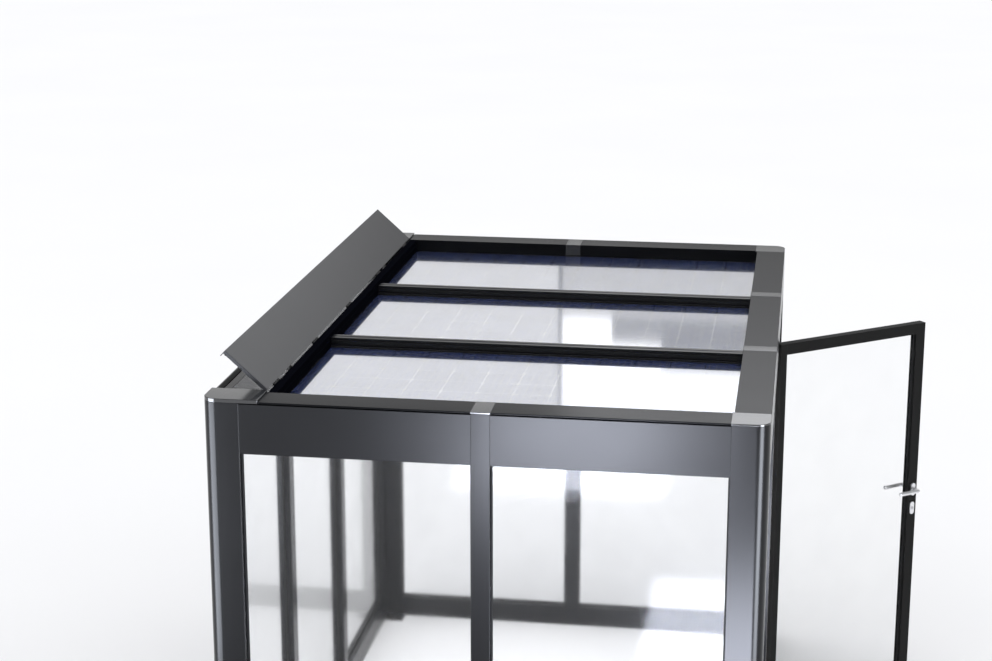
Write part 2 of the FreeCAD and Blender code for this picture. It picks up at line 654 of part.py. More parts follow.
def make_door_hinges():
    fixed, moving, pins = [], [], []
    up = Vector(0, 0, 1)
    third = HINGE_LONG / 3
    for z in HINGE_Z:
        base = Vector(DOOR_PIN.x, DOOR_PIN.y, z - HINGE_LONG / 2)
        pins.append(rod(DOOR_PIN_R, HINGE_LONG + 6, base - up * 3, up))
        for part, (low, high), bore in ((fixed, (0, third - 0.3), DOOR_PIN_R),
                                        (moving, (third, 2 * third), DOOR_PIN_R + RUN),
                                        (fixed, (2 * third + 0.3, HINGE_LONG), DOOR_PIN_R)):
            barrel = rod(BARREL, high - low, base + up * low, up)
            z0, z1 = base.z + low, base.z + high
            if part is fixed:
                wing = box(LEAF_OUT, LEAF_OUT + WING, DOOR_PIN.y + 2.5, BAY / 2 - 1, z0, z1)
            else:
                wing = box(LEAF_OUT, LEAF_OUT + WING, LEAF_HINGE - WING_LONG, DOOR_PIN.y - 1,
                           z0, z1)
            ring = fuse([barrel, wing]).cut(rod(bore, high - low, base + up * low, up))
            part.append(ring if part is fixed else opened_door(ring))
    save_group("door_hinge_frame_leaves", fixed)
    save_group("door_hinge_door_leaves", moving)
    save_group("door_hinge_pins", pins)


def lock_hole_y():
    return LEAF_LOCK + STILE / 2


def lever(side):
    """One lever with its neck: +1 outside, -1 inside. It points towards the hinges."""
    y = lock_hole_y()
    face = LEAF_OUT if side > 0 else LEAF_OUT - LEAF
    x_dir = Vector(side, 0, 0)
    start = Vector(face, y, HANDLE_Z) + x_dir * LEVER_STAND
    bend = start + x_dir * LEVER_NECK
    neck = rod(LEVER_R, LEVER_NECK, start, x_dir)
    bar = rod(LEVER_R, LEVER - LEVER_R, bend, Vector(0, 1, 0))
    elbow = Part.makeSphere(LEVER_R, bend)
    nose = Part.makeSphere(LEVER_R, bend + Vector(0, LEVER - LEVER_R, 0))
    shape = fuse([neck, elbow, bar, nose])
    socket = box(face, face + side * (SPINDLE_OUT + 1), y - SPINDLE / 2, y + SPINDLE / 2,
                 HANDLE_Z - SPINDLE / 2, HANDLE_Z + SPINDLE / 2)
    return shape.cut(socket)


def oval_rose(side, y, z, thick, bore):
    """Upright oval plate on a leaf face, with a round bore."""
    face = LEAF_OUT if side > 0 else LEAF_OUT - LEAF
    out = Vector(side, 0, 0)
    middle = Vector(face, y, z)
    ends = [rod(OVAL_R, thick, middle + Vector(0, 0, run), out) for run in (-OVAL_RUN, OVAL_RUN)]
    plate = box(face, face + side * thick, y - OVAL_R, y + OVAL_R, z - OVAL_RUN, z + OVAL_RUN)
    return fuse(ends + [plate]).cut(rod(bore, thick, middle, out))


def make_lock():
    y = lock_hole_y()
    middle = LEAF_OUT - LEAF / 2
    x_axis = Vector(1, 0, 0)
    plates = []
    for name, side in (("outside", 1), ("inside", -1)):
        nodes["lever_" + name] = opened_door(lever(side))
        for z, (thick, bore) in ((HANDLE_Z, LEVER_ROSE), (KEY_Z, KEY_ROSE)):
            plates.append(opened_door(oval_rose(side, y, z, thick, bore)))
    save_group("rose_plates", plates)
    spindle = box(LEAF_OUT - LEAF - SPINDLE_OUT, LEAF_OUT + SPINDLE_OUT, y - SPINDLE / 2,
                  y + SPINDLE / 2, HANDLE_Z - SPINDLE / 2, HANDLE_Z + SPINDLE / 2)
    nodes["handle_spindle"] = opened_door(spindle)
    make_lock_case(middle, y)
    make_bolts(middle)

    plug = rod(KEY_PLUG, LEAF + 2 * KEY_PLUG, Vector(LEAF_OUT - LEAF - KEY_PLUG, y, KEY_Z), x_axis)
    half, tall, deep = KEY_SLOT
    for face in (LEAF_OUT + KEY_PLUG, LEAF_OUT - LEAF - KEY_PLUG):
        plug = plug.cut(box(face - deep, face + deep, y - half, y + half,
                            KEY_Z - tall, KEY_Z + tall))
    nodes["key_cylinder"] = opened_door(plug)


def make_lock_case(middle, y):
    """Case with its forend, open where the bolts and the spindle pass."""
    x_axis = Vector(1, 0, 0)
    half, deep, wall = CASE
    case = box(middle - half, middle + half, LEAF_LOCK + 3, LEAF_LOCK + deep, LOCK_LOW, LOCK_HIGH)
    case = case.cut(box(middle - half + wall, middle + half - wall, LEAF_LOCK + 2,
                        LEAF_LOCK + deep - wall, LOCK_LOW + wall, LOCK_HIGH - wall))
    for z, radius in ((HANDLE_Z, 6.5), (KEY_Z, KEY_PLUG + 0.5)):
        case = case.cut(rod(radius, 4 * half, Vector(middle - 2 * half, y, z), x_axis))
    half, thick, lap = FOREND
    front = box(middle - half, middle + half, LEAF_LOCK, LEAF_LOCK + thick, LOCK_LOW - lap,
                LOCK_HIGH + lap)
    for z, bolt, tall in ((HANDLE_Z, LATCH[0], LATCH[2]), (KEY_Z, DEAD_BOLT[0], DEAD_BOLT[1])):
        front = front.cut(box(middle - bolt - 0.3, middle + bolt + 0.3, LEAF_LOCK - 1,
                              LEAF_LOCK + thick + 1, z - tall - 0.3, z + tall + 0.3))
    save_group("lock_case", [opened_door(case), opened_door(front)])


def make_bolts(middle):
    """Sprung latch bolt with its slope, and the dead bolt."""
    half, reach, tall = LATCH
    latch = box(middle - half, middle + half, LEAF_LOCK - reach, LEAF_LOCK + reach,
                HANDLE_Z - tall, HANDLE_Z + tall)
    base = HANDLE_Z - tall - 1
    wedge = prism([(middle - half - 0.5, LEAF_LOCK - reach - 1, base),
                   (middle - half - 0.5, LEAF_LOCK - 1, base),
                   (middle + half + 0.5, LEAF_LOCK - reach - 1, base)], (0, 0, 2 * tall + 2))
    nodes["latch_bolt"] = opened_door(latch.cut(wedge))
    half, tall, far = DEAD_BOLT
    dead = box(middle - half, middle + half, LEAF_LOCK + 0.5, LEAF_LOCK + far,
               KEY_Z - tall, KEY_Z + tall)
    nodes["dead_bolt"] = opened_door(dead)


# ---- screws ---------------------------------------------------------------------------
def make_screws():
    """Button heads that hold the hinge wings to the door leaf."""
    heads = []
    for z in HINGE_Z:
        for step in WING_SCREWS:
            start = Vector(LEAF_OUT + WING, LEAF_HINGE - step, z)
            head = rod(SCREW_R, SCREW_HEAD, start, Vector(1, 0, 0))
            heads.append(opened_door(head))
    save_group("hinge_screws", heads)


def main():
    os.makedirs("parts", exist_ok=True)
    make_posts()
    make_walls()
    make_glazing()
    make_base_plates()
    make_roof_edge()
    make_caps()
    make_roof_glass(make_rafters())
    make_hinge_beam()
    make_vent()
    make_actuators()
    make_door_frame()
    make_door_leaf()
    make_door_hinges()
    make_lock()
    make_screws()
    for name, shape in nodes.items():
        shape.exportStep("parts/" + name + ".step")
        print("%-28s solids %3d valid %s volume %.0f cm3"
              % (name, len(shape.Solids), shape.isValid(), shape.Volume / 1000))
    print(len(nodes), "nodes")


main()
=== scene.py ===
"""Looks of a walk-in greenhouse with a flat solar roof, a long roof vent and a glazed door.

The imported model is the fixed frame. Each sub-assembly is a class that takes the frame's
sections with eased edges, adds its own detail pieces and dresses them in their finishes.
Everything is in metres. Z is up, the front faces -Y, the door is in the +X side.
"""
import json
import logging
import math
from dataclasses import dataclass, field
from enum import Enum
from typing import Iterable, List, Optional, Sequence, Tuple

import bmesh
import bpy
from mathutils import Matrix, Vector


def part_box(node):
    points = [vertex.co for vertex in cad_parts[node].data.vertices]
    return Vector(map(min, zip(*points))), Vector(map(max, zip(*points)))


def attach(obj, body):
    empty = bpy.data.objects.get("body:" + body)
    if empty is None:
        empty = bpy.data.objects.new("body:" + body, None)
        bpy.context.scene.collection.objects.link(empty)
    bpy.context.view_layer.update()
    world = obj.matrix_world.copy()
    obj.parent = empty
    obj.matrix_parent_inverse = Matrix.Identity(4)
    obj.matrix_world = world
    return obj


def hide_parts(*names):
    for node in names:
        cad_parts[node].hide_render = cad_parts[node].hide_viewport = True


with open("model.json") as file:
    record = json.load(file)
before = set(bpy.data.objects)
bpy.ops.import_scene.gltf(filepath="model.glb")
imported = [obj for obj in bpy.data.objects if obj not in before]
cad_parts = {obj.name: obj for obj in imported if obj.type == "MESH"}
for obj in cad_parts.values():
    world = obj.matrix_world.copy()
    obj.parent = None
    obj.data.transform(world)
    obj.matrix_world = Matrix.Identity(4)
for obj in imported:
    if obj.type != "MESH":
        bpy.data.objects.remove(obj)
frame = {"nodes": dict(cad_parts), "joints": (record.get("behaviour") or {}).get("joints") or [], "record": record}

logging.basicConfig(level=logging.INFO, format="%(levelname)s %(name)s: %(message)s")
log = logging.getLogger("greenhouse")

Colour = Tuple[float, float, float]
Point = Tuple[float, float, float]
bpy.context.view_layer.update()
WELD = 2e-5             # vertices of a frame mesh closer than this are one
FLAT_WITHIN = 0.8       # degrees between faces that are merged into one
SHARP = 40.0            # degrees above which an edge is eased
CREASE = 32.0           # degrees above which the shading keeps an edge
SUNK = 0.0002           # how far an added detail sits into the piece under it


class Body(str, Enum):
    """The moving bodies of the frame."""

    FRAME = "frame"
    VENT = "vent"
    ACTUATOR_FRONT = "actuator_front"
    ACTUATOR_REAR = "actuator_rear"
    RAM_FRONT = "ram_front"
    RAM_REAR = "ram_rear"
    DOOR = "door"
    HANDLE = "handle"
    LATCH = "latch"
    BOLT = "bolt"
    KEY_PLUG = "key_plug"


class Slot(str, Enum):
    """The record's material slots."""

    ANTHRACITE = "anthracite_frame"
    GREY_CAPS = "grey_caps"
    DOOR = "door_anthracite"
    WALL_GLASS = "wall_glass"
    DOOR_GLASS = "door_glass"
    SOLAR_GLASS = "solar_glass"
    SILICON = "silicon_cell"
    GASKET = "gasket"
    PLASTIC = "black_plastic"
    STEEL = "satin_steel"


# ---- materials ---------------------------------------------------------------------------
class ShaderGraph:
    """Builds the nodes of one material around a Principled shader."""

    def __init__(self, name: str) -> None:
        """Starts an empty graph.

        Args:
            name: the material's name.
        """
        self.material = bpy.data.materials.new(name)
        self.material.use_nodes = True
        self.tree = self.material.node_tree
        self.shader = self.tree.nodes["Principled BSDF"]
        self.place = self.tree.nodes.new("ShaderNodeTexCoord").outputs["Object"]

    def set(self, **values: object) -> None:
        """Sets the shader's own sockets.

        Args:
            values: socket names with underscores for spaces, and their values.
        """
        for name, value in values.items():
            self.shader.inputs[name.replace("_", " ")].default_value = value

    def feed(self, name: str, source: bpy.types.NodeSocket) -> None:
        """Links a varying value to one of the shader's sockets."""
        self.tree.links.new(source, self.shader.inputs[name])

    def stretched(self, scale: Point) -> bpy.types.NodeSocket:
        """Object coordinates scaled along each axis.

        Args:
            scale: repeats per metre along X, Y and Z.

        Returns:
            The scaled vector.
        """
        mapping = self.tree.nodes.new("ShaderNodeMapping")
        mapping.inputs["Scale"].default_value = scale
        self.tree.links.new(self.place, mapping.inputs["Vector"])
        return mapping.outputs["Vector"]

    def noise(self, scale: Point, detail: float = 2.0,
              roughness: float = 0.5) -> bpy.types.NodeSocket:
        """Fractal noise over the piece.

        Args:
            scale: cycles per metre along X, Y and Z.
            detail: number of octaves.
            roughness: weight of the finer octaves.

        Returns:
            A value near 0.5.
        """
        node = self.tree.nodes.new("ShaderNodeTexNoise")
        node.inputs["Scale"].default_value = 1.0
        node.inputs["Detail"].default_value = detail
        node.inputs["Roughness"].default_value = roughness
        self.tree.links.new(self.stretched(scale), node.inputs["Vector"])
        return node.outputs["Fac"]

    def grains(self, scale: Point) -> bpy.types.NodeSocket:
        """Random tone of each cell of a Voronoi pattern, such as crystal grains."""
        node = self.tree.nodes.new("ShaderNodeTexVoronoi")
        node.inputs["Scale"].default_value = 1.0
        self.tree.links.new(self.stretched(scale), node.inputs["Vector"])
        return node.outputs["Color"]

    def span(self, source: bpy.types.NodeSocket, low: float, high: float,
             start: float = 0.3, end: float = 0.7) -> bpy.types.NodeSocket:
        """Maps a value's range to another.

        Args:
            source: the value.
            low: result at start.
            high: result at end.
            start: lowest input.
            end: highest input.

        Returns:
            The mapped value, clamped.
        """
        node = self.tree.nodes.new("ShaderNodeMapRange")
        ranges = (("From Min", start), ("From Max", end), ("To Min", low), ("To Max", high))
        for name, value in ranges:
            node.inputs[name].default_value = value
        self.tree.links.new(source, node.inputs["Value"])
        return node.outputs["Result"]

    def math(self, operation: str, first: object, second: object = 0.0) -> bpy.types.NodeSocket:
        """Arithmetic on sockets or numbers."""
        node = self.tree.nodes.new("ShaderNodeMath")
        node.operation = operation
        for socket, value in zip(node.inputs, (first, second)):
            if isinstance(value, bpy.types.NodeSocket):
                self.tree.links.new(value, socket)
            else:
                socket.default_value = value
        return node.outputs["Value"]

    def blend(self, share: bpy.types.NodeSocket, first: object,
              second: object) -> bpy.types.NodeSocket:
        """Mixes two colours.

        Args:
            share: 0 for the first colour and 1 for the second.
            first: a colour or a socket.
            second: a colour or a socket.

        Returns:
            The mixed colour.
        """
        node = self.tree.nodes.new("ShaderNodeMix")
        node.data_type = "RGBA"
        # A Mix node's colours are its sockets 6 and 7, and the mixed colour its output 2.
        self.tree.links.new(share, node.inputs[0])
        for socket, value in ((node.inputs[6], first), (node.inputs[7], second)):
            if isinstance(value, bpy.types.NodeSocket):
                self.tree.links.new(value, socket)
            else:
                socket.default_value = (*value, 1.0)
        return node.outputs[2]

    def eased_edges(self) -> bpy.types.NodeSocket:
        """1 on the narrow faces along eased edges and 0 elsewhere."""
        node = self.tree.nodes.new("ShaderNodeAttribute")
        node.attribute_name = "eased"
        return node.outputs["Fac"]

    def bump(self, height: bpy.types.NodeSocket, strength: float, depth: float) -> None:
        """Adds relief to the shader's normal.

        Args:
            height: the relief.
            strength: 0 to 1.
            depth: metres from low to high.
        """
        node = self.tree.nodes.new("ShaderNodeBump")
        node.inputs["Strength"].default_value = strength
        node.inputs["Distance"].default_value = depth
        self.tree.links.new(height, node.inputs["Height"])
        self.feed("Normal", node.outputs["Normal"])


def shade(colour: Colour, share: float, lift: float = 0.0) -> Colour:
    """A colour made darker or lighter.

    Args:
        colour: the colour.
        share: what each channel is multiplied by.
        lift: what is then added to each channel.

    Returns:
        The new colour.
    """
    return tuple(channel * share + lift for channel in colour)


@dataclass(frozen=True)
class Finish:
    """A finish that several pieces share."""

    name: str
    slot: Slot

    def make(self, graph: ShaderGraph) -> None:
        """Builds the finish's nodes."""
        raise NotImplementedError

    def material(self) -> bpy.types.Material:
        """The Blender material, made at its first use."""
        found = bpy.data.materials.get(self.name)
        if found is None:
            graph = ShaderGraph(self.name)
            self.make(graph)
            found = graph.material
        return found


@dataclass(frozen=True)
class PowderCoat(Finish):
    """Satin powder coat on aluminium, with orange peel and faint dust; its eased edges are lightened in patches,
    partly as rubbed wear and partly as a painted highlight.
    """

    colour: Colour
    sheen_level: float = 0.22
    roughness: float = 0.23
    peel: float = 900.0
    peel_depth: float = 0.00005
    # how much lighter the eased edges are: partly rubbed wear, partly a painted edge highlight
    rubbed_and_highlit: float = 1.8
    clouding: float = 0.07
    dustiness: float = 0.3
    uneven: float = 0.006

    def make(self, graph: ShaderGraph) -> None:
        """Builds the finish's nodes."""
        cloud = graph.noise((2.2, 2.2, 2.2), 3.0)
        dust = graph.noise((7.0, 7.0, 0.9), 4.0, 0.6)
        dark = shade(self.colour, 1.0 - self.clouding)
        light = shade(self.colour, 1.0 + self.clouding)
        dusty = shade(self.colour, 1.2, 0.001)
        tone = graph.blend(graph.span(cloud, 0.0, 1.0), dark, light)
        tone = graph.blend(graph.span(dust, 0.0, self.dustiness, 0.5, 0.8), tone, dusty)
        # Eased edges lightened in patches: partly rubbed wear, partly a painted edge highlight.
        wear_and_highlight = graph.noise((25.0, 25.0, 25.0), 3.0, 0.6)
        wear_and_highlight = graph.math("MULTIPLY", graph.eased_edges(), graph.span(wear_and_highlight, 0.1, 0.6))
        worn_and_highlit = shade(self.colour, self.rubbed_and_highlit, 0.002)
        graph.feed("Base Color", graph.blend(wear_and_highlight, tone, worn_and_highlit))
        fine = graph.noise((self.peel, self.peel, self.peel), 1.0)
        patch = graph.noise((3.0, 3.0, 3.0), 2.0)
        graph.feed("Roughness", graph.span(patch, self.roughness - self.uneven,
                                           self.roughness + self.uneven))
        graph.set(Specular_IOR_Level=self.sheen_level)
        graph.bump(fine, 0.1, self.peel_depth)


@dataclass(frozen=True)
class SatinSteel(Finish):
    """Brushed stainless steel with fine scratches and handling marks."""

    colour: Colour = (0.62, 0.62, 0.63)
    roughness: float = 0.3
    handled: float = 0.84
    brushing: float = 0.03
    scratch_depth: float = 0.00008

    def make(self, graph: ShaderGraph) -> None:
        """Builds the finish's nodes."""
        lines = graph.noise((2600.0, 2600.0, 120.0), 2.0)
        smudge = graph.noise((45.0, 45.0, 45.0), 4.0, 0.6)
        dark = shade(self.colour, self.handled)
        graph.feed("Base Color", graph.blend(graph.span(smudge, 0.0, 1.0), self.colour, dark))
        rough = graph.math("ADD", graph.span(smudge, self.roughness - 0.06, self.roughness + 0.08),
                           graph.span(lines, -self.brushing, self.brushing))
        graph.feed("Roughness", rough)
        graph.set(Metallic=1.0)
        graph.bump(lines, 0.1, self.scratch_depth)


@dataclass(frozen=True)
class ClearGlass(Finish):
    """Tempered glass with roller wave, a light film of dust and smudges."""

    colour: Colour
    roughness: float
    film: float
    ior: float = 1.27
    coat_ior: float = 1.1
    coat_roughness: float = 0.2
    filmed: float = 0.97
    wave_depth: float = 0.0008

    def make(self, graph: ShaderGraph) -> None:
        """Builds the finish's nodes."""
        film = graph.noise((5.0, 5.0, 5.0), 5.0, 0.62)
        wave = graph.noise((6.0, 6.0, 1.2), 1.0)
        graph.feed("Base Color", graph.blend(graph.span(film, 0.0, 1.0), self.colour,
                                             shade(self.colour, self.filmed)))
        graph.feed("Roughness", graph.span(film, self.roughness, self.roughness + self.film,
                                           0.35, 0.75))
        graph.set(IOR=self.ior, Transmission_Weight=1.0, Specular_IOR_Level=0.0,
                  Coat_Weight=1.0, Coat_IOR=self.coat_ior, Coat_Roughness=self.coat_roughness)
        graph.bump(wave, 0.12, self.wave_depth)


@dataclass(frozen=True)
class SolarGlass(Finish):
    """Finely textured solar glass with a glossy outer surface."""

    colour: Colour = (0.93, 0.95, 0.98)
    roughness: float = 0.06
    ior: float = 1.5
    coat_ior: float = 2.8
    coat_roughness: float = 0.05
    dusted: float = 0.95
    prism_depth: float = 0.0001

    def make(self, graph: ShaderGraph) -> None:
        """Builds the finish's nodes."""
        prisms = graph.noise((420.0, 420.0, 420.0), 1.0)
        dust = graph.noise((3.0, 3.0, 3.0), 5.0, 0.65)
        graph.feed("Base Color", graph.blend(graph.span(dust, 0.0, 1.0), self.colour,
                                             shade(self.colour, self.dusted)))
        graph.feed("Roughness", graph.span(dust, self.roughness, self.roughness + 0.05, 0.35, 0.75))
        graph.set(IOR=self.ior, Transmission_Weight=1.0, Coat_Weight=1.0,
                  Coat_Roughness=self.coat_roughness, Coat_IOR=self.coat_ior)
        graph.bump(prisms, 0.1, self.prism_depth)


@dataclass(frozen=True)
class SiliconCell(Finish):
    """Blue multicrystalline silicon with printed fingers."""

    dark: Colour = (0.090, 0.150, 0.480)
    light: Colour = (0.190, 0.270, 0.720)
    finger: Colour = (0.42, 0.46, 0.62)
    finger_pitch: float = 0.008
    finger_share: float = 0.14

    def make(self, graph: ShaderGraph) -> None:
        """Builds the finish's nodes."""
        shards = graph.grains((70.0, 70.0, 70.0))
        tone = graph.blend(graph.span(shards, 0.0, 1.0, 0.1, 0.9), self.dark, self.light)
        along = graph.tree.nodes.new("ShaderNodeSeparateXYZ")
        graph.tree.links.new(graph.place, along.inputs["Vector"])
        row = graph.math("FRACT", graph.math("DIVIDE", along.outputs["Y"], self.finger_pitch))
        printed = graph.math("LESS_THAN", row, self.finger_share)
        graph.feed("Base Color", graph.blend(printed, tone, self.finger))
        graph.feed("Roughness", graph.span(shards, 0.26, 0.42, 0.1, 0.9))
        graph.set(Specular_IOR_Level=0.4)


@dataclass(frozen=True)
class Moulded(Finish):
    """Rubber or plastic with a fine mould texture and a little bloom."""

    colour: Colour
    roughness: float
    grain: float = 1500.0
    grain_depth: float = 0.0002

    def make(self, graph: ShaderGraph) -> None:
        """Builds the finish's nodes."""
        bloom = graph.noise((14.0, 14.0, 14.0), 4.0, 0.6)
        fine = graph.noise((self.grain, self.grain, self.grain), 1.0)
        pale = shade(self.colour, 1.9, 0.006)
        bloomed = graph.span(bloom, 0.0, 0.6, 0.45, 0.75)
        graph.feed("Base Color", graph.blend(bloomed, self.colour, pale))
        graph.feed("Roughness", graph.span(bloom, self.roughness - 0.05, self.roughness + 0.06))
        graph.set(Specular_IOR_Level=0.3)
        graph.bump(fine, 0.15, self.grain_depth)


@dataclass(frozen=True)
class FloorPaint(Finish):
    """Plain pale floor."""

    colour: Colour = (0.84, 0.84, 0.85)

    def make(self, graph: ShaderGraph) -> None:
        """Builds the finish's nodes."""
        cloud = graph.noise((0.35, 0.35, 0.35), 2.0)
        graph.feed("Base Color", graph.blend(graph.span(cloud, 0.0, 1.0), self.colour,
                                             shade(self.colour, 0.985)))
        graph.set(Roughness=0.85, Specular_IOR_Level=0.1)


FRAME_COAT = PowderCoat("frame_powder_coat", Slot.ANTHRACITE, (0.0070, 0.0076, 0.0096))
ROOF_COAT = PowderCoat("roof_powder_coat", Slot.ANTHRACITE, (0.0060, 0.0064, 0.0080), 0.06, 0.2)
COVER_COAT = PowderCoat("cover_powder_coat", Slot.ANTHRACITE, (0.0080, 0.0085, 0.0105), 0.4, 0.3)
# A darker, matt copy of the frame coat for the hinge beam: painted shade on its inner face.
BEAM_SHADED_COAT = PowderCoat("beam_matt_shaded_coat", Slot.ANTHRACITE, (0.0025, 0.0027, 0.0045), 0.0, 0.6)
FLAP_COAT = PowderCoat("flap_powder_coat", Slot.ANTHRACITE, (0.0080, 0.0085, 0.0110), 0.25, 0.3)
END_COAT = PowderCoat("flap_end_coat", Slot.ANTHRACITE, (0.055, 0.057, 0.065), 0.3, 0.3)
DOOR_COAT = PowderCoat("door_powder_coat", Slot.DOOR, (0.017, 0.017, 0.017), 0.05, 0.5)
CAP_METAL = PowderCoat("cap_smooth_coat", Slot.GREY_CAPS, (0.02, 0.021, 0.024), 0.9, 0.13)
BLACK_STEEL = PowderCoat("black_zinc_steel", Slot.STEEL, (0.006, 0.006, 0.007), 0.15, 0.42)
STEEL = SatinSteel("satin_stainless_steel", Slot.STEEL)
LEVER_STEEL = SatinSteel("lever_stainless_steel", Slot.STEEL, (0.86, 0.86, 0.87), 0.42)
WALL_GLASS = ClearGlass("wall_pane_glass", Slot.WALL_GLASS, (0.98, 0.985, 0.99), 0.05, 0.03)
DOOR_GLASS = ClearGlass("door_pane_glass", Slot.DOOR_GLASS, (0.98, 0.985, 0.985), 0.0, 0.02)
SOLAR_GLASS = SolarGlass("solar_laminate_glass", Slot.SOLAR_GLASS)
SILICON = SiliconCell("silicon_wafer", Slot.SILICON)
RIBBON = SatinSteel("tinned_ribbon", Slot.SILICON, (0.75, 0.75, 0.76), 0.35)
RUBBER = Moulded("epdm_rubber", Slot.GASKET, (0.012, 0.012, 0.012), 0.7)
PLASTIC = Moulded("black_moulded_plastic", Slot.PLASTIC, (0.018, 0.018, 0.019), 0.5, 900.0)
FLOOR = FloorPaint("pale_floor", Slot.GREY_CAPS)


# ---- shapes -------------------------------------------------------------------------------
class Shape:
    """A mesh being built with bmesh operators."""

    def __init__(self, node: Optional[str] = None) -> None:
        """Starts empty or from a frame node's mesh.

        Args:
            node: name of the node whose merged mesh is copied.
        """
        self.mesh = bmesh.new()
        self.eased = self.mesh.faces.layers.float.new("eased")
        if node is not None:
            self.mesh.from_mesh(frame["nodes"][node].data)
            self.eased = self.mesh.faces.layers.float.get("eased") or \
                self.mesh.faces.layers.float.new("eased")
            bmesh.ops.remove_doubles(self.mesh, verts=self.mesh.verts, dist=WELD)
            bmesh.ops.dissolve_limit(self.mesh, angle_limit=math.radians(FLAT_WITHIN),
                                     verts=self.mesh.verts, edges=self.mesh.edges)

    def block(self, low: Sequence[float], high: Sequence[float]) -> "Shape":
        """Adds a box between two corners."""
        low, high = Vector(low), Vector(high)
        place = Matrix.Translation((low + high) / 2) @ Matrix.Diagonal((*(high - low), 1.0))
        bmesh.ops.create_cube(self.mesh, size=1.0, matrix=place)
        return self

    def rod(self, radius: float, start: Sequence[float], end: Sequence[float],
            sides: int = 24, tip: Optional[float] = None) -> "Shape":
        """Adds a round bar or cone between two points.

        Args:
            radius: radius at the start.
            start: centre of the first end.
            end: centre of the other end.
            sides: number of flats.
            tip: radius at the end, the same as at the start if left out.

        Returns:
            The shape.
        """
        start, end = Vector(start), Vector(end)
        along = end - start
        turn = along.to_track_quat("Z", "Y").to_matrix().to_4x4()
        place = Matrix.Translation((start + end) / 2) @ turn
        bmesh.ops.create_cone(self.mesh, cap_ends=True, segments=sides, radius1=radius,
                              radius2=radius if tip is None else tip, depth=along.length,
                              matrix=place)
        return self

    def ease(self, width: float, segments: int = 2, least: float = SHARP) -> "Shape":
        """Eases every sharp edge.

        Args:
            width: how far each edge is cut back.
            segments: number of faces across.
            least: smallest angle that counts as sharp, in degrees.

        Returns:
            The shape.
        """
        sharp = [e for e in self.mesh.edges
                 if e.is_manifold and e.calc_face_angle(0.0) > math.radians(least)]
        if sharp:
            made = bmesh.ops.bevel(self.mesh, geom=sharp, offset=width, offset_type="OFFSET",
                                   segments=segments, profile=0.5, affect="EDGES",
                                   clamp_overlap=True, material=-1)
            for face in made["faces"]:
                face[self.eased] = 1.0
        return self

    def piece(self, name: str, body: Body, finish: Finish, stands_for: Iterable[str] = (),
              crease: float = CREASE) -> bpy.types.Object:
        """Finishes the mesh as a piece that rides on a body.

        Args:
            name: the piece's name.
            body: the body that it rides on.
            finish: its finish.
            stands_for: frame nodes that it replaces.
            crease: smallest angle that stays sharp in the shading, in degrees.

        Returns:
            The piece.
        """
        data = bpy.data.meshes.new(name)
        for face in self.mesh.faces:
            face.smooth = True
        self.mesh.to_mesh(data)
        self.mesh.free()
        data.set_sharp_from_angle(angle=math.radians(crease))
        data.materials.append(finish.material())
        made = bpy.data.objects.new(name, data)
        bpy.context.scene.collection.objects.link(made)
        weighted = made.modifiers.new("weighted_normals", "WEIGHTED_NORMAL")
        weighted.keep_sharp = True
        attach(made, body.value)
        nodes = list(stands_for)
        if nodes:
            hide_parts(*nodes)
        log.info("%s: %d faces, rides on %s", name, len(data.polygons), body.value)
        return made


BODY_OF = {node: Body(body) for body, nodes in frame["record"]["behaviour"]["bodies"].items()
           for node in nodes}


def eased_copy(node: str, finish: Finish, width: float = 0.0012, segments: int = 2,
               least: float = SHARP) -> bpy.types.Object:
    """Stands an eased copy in for a frame node.

    Args:
        node: the node's name.
        finish: the copy's finish.
        width: how far its edges are cut back.
        segments: number of faces across an eased edge.
        least: smallest angle that is eased, in degrees.

    Returns:
        The copy.
    """
    shape = Shape(node).ease(width, segments, least)
    return shape.piece(node + "_eased", BODY_OF[node], finish, [node])


def joint(name: str) -> Tuple[Vector, Vector]:
    """Where a joint of the frame is and the way it points.

    Args:
        name: the joint's name.

    Returns:
        Its place and its axis.
    """
    found = next(j for j in frame["joints"] if j["name"] == name)
    return Vector(found.get("pos_m", (0.0, 0.0, 0.0))), Vector(found["axis"]).normalized()


def loose_parts(node: str) -> List[Tuple[Vector, Vector]]:
    """The boxes of a node's separate solids.

    Args:
        node: the node's name.

    Returns:
        The lowest and highest corner of each solid, sorted by place.
    """
    mesh = Shape(node).mesh
    left, boxes = set(mesh.verts), []
    while left:
        stack, found = [left.pop()], []
        while stack:
            vert = stack.pop()
            found.append(vert.co.copy())
            for edge in vert.link_edges:
                other = edge.other_vert(vert)
                if other in left:
                    left.remove(other)
                    stack.append(other)
        boxes.append((Vector(min(c[i] for c in found) for i in range(3)),
                      Vector(max(c[i] for c in found) for i in range(3))))
    mesh.free()
    return sorted(boxes, key=lambda box: tuple(round(v, 3) for v in box[0]))


